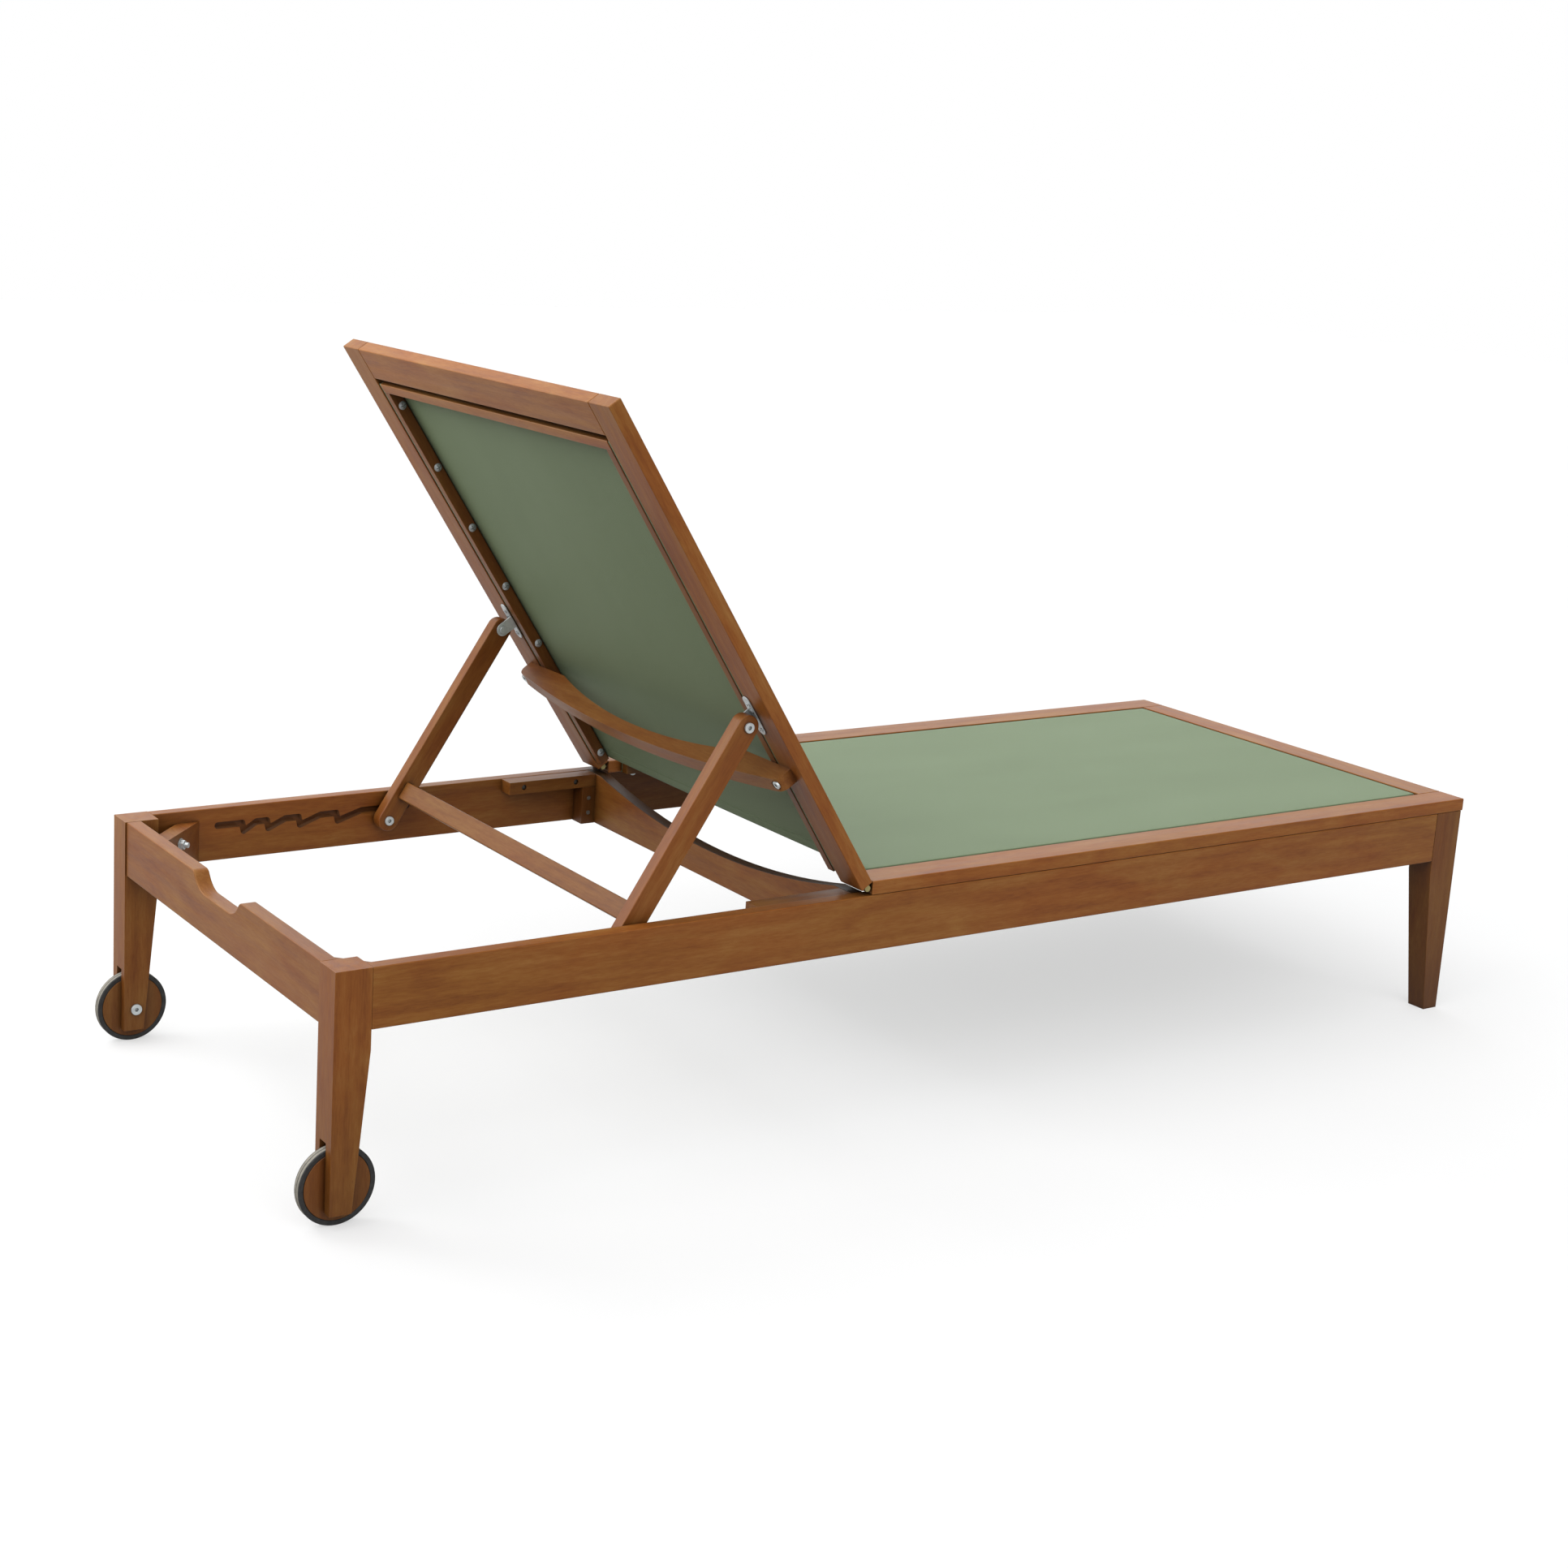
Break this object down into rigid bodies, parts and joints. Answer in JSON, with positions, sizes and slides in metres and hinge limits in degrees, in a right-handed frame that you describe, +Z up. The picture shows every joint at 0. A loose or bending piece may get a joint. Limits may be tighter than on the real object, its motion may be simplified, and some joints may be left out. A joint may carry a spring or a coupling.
{
  "type": "reclining sun lounger",
  "caption": "Low hardwood sun lounger with stretched mesh bed and backrest, a propped adjustable back on saw-tooth tracks, and small forked wheels at the head end.",
  "frame": {"origin": "on the standing plane, below the centre of the whole bed at rest with the back raised", "axes": "+X along the bed toward the foot end, +Y across the bed to the left of someone lying on it on their back, +Z up"},
  "size_m": [2.034, 0.75, 1.0195],
  "materials": {
    "oiled_wood": "red-brown oiled hardwood, satin, eased edges",
    "sling_cloth": "grey-green open-weave outdoor mesh cloth, matte",
    "zinc_steel": "bright zinc plate, lightly brushed",
    "hinge_brass": "dull yellow passivated plate",
    "tyre_rubber": "matte black rubber with a dusty tread",
    "bush_nylon": "dark moulded nylon"
  },
  "bodies": {
    "base": {"side_rail_left": "oiled_wood", "side_rail_right": "oiled_wood", "head_rail": "oiled_wood", "mid_rail": "oiled_wood", "foot_rail": "oiled_wood", "head_leg_left": "oiled_wood", "head_leg_right": "oiled_wood", "foot_leg_left": "oiled_wood", "foot_leg_right": "oiled_wood", "head_block_left": "oiled_wood", "head_block_right": "oiled_wood", "foot_block_left": "oiled_wood", "foot_block_right": "oiled_wood", "mid_block_left": "oiled_wood", "mid_block_right": "oiled_wood", "ledger_left": "oiled_wood", "ledger_right": "oiled_wood", "corner_bolts": "zinc_steel", "block_screws": "zinc_steel", "seat_bolts": "zinc_steel", "seat_stile_left": "oiled_wood", "seat_stile_right": "oiled_wood", "seat_foot_bar": "oiled_wood", "seat_batten_left": "oiled_wood", "seat_batten_right": "oiled_wood", "seat_foot_batten": "oiled_wood", "seat_sling": "sling_cloth", "seat_screws": "zinc_steel", "axle_bolt_left": "zinc_steel", "axle_bolt_right": "zinc_steel", "hinge_seat_left": "hinge_brass", "hinge_seat_right": "hinge_brass"},
    "backrest": {"back_stile_left": "oiled_wood", "back_stile_right": "oiled_wood", "back_top_bar": "oiled_wood", "back_batten_left": "oiled_wood", "back_batten_right": "oiled_wood", "back_top_batten": "oiled_wood", "back_sling": "sling_cloth", "back_cross": "oiled_wood", "cross_bolts": "zinc_steel", "back_screws": "zinc_steel", "strut_plate_left": "zinc_steel", "strut_plate_right": "zinc_steel", "plate_screws": "zinc_steel", "hinge_back_left": "hinge_brass", "hinge_back_right": "hinge_brass", "pivot_bolts": "zinc_steel"},
    "prop": {"strut_left": "oiled_wood", "strut_right": "oiled_wood", "prop_bar": "oiled_wood", "foot_pins": "zinc_steel"},
    "wheel_left": {"wheel_disc_left": "oiled_wood", "wheel_tyre_left": "tyre_rubber", "wheel_bush_left": "bush_nylon"},
    "wheel_right": {"wheel_disc_right": "oiled_wood", "wheel_tyre_right": "tyre_rubber", "wheel_bush_right": "bush_nylon"}
  },
  "joints": [
    {"name": "back_hinge", "type": "hinge", "parent": "base", "child": "backrest", "pos_m": [-0.188, 0, 0.346], "axis": [0, -1, 0], "range_deg": [0, 56.2]},
    {"name": "prop_pivot", "type": "hinge", "parent": "backrest", "child": "prop", "pos_m": [-0.384, 0, 0.58195], "axis": [0, 1, 0], "range_deg": [0, 112.5]},
    {"name": "wheel_left_spin", "type": "hinge", "parent": "base", "child": "wheel_left", "pos_m": [-0.965, 0.351, 0.052], "axis": [0, 1, 0], "continuous": true},
    {"name": "wheel_right_spin", "type": "hinge", "parent": "base", "child": "wheel_right", "pos_m": [-0.965, -0.351, 0.052], "axis": [0, 1, 0], "continuous": true}
  ],
  "couplings": [
    {"joint": "prop_pivot", "follows": "back_hinge", "ratio": 2}
  ]
}
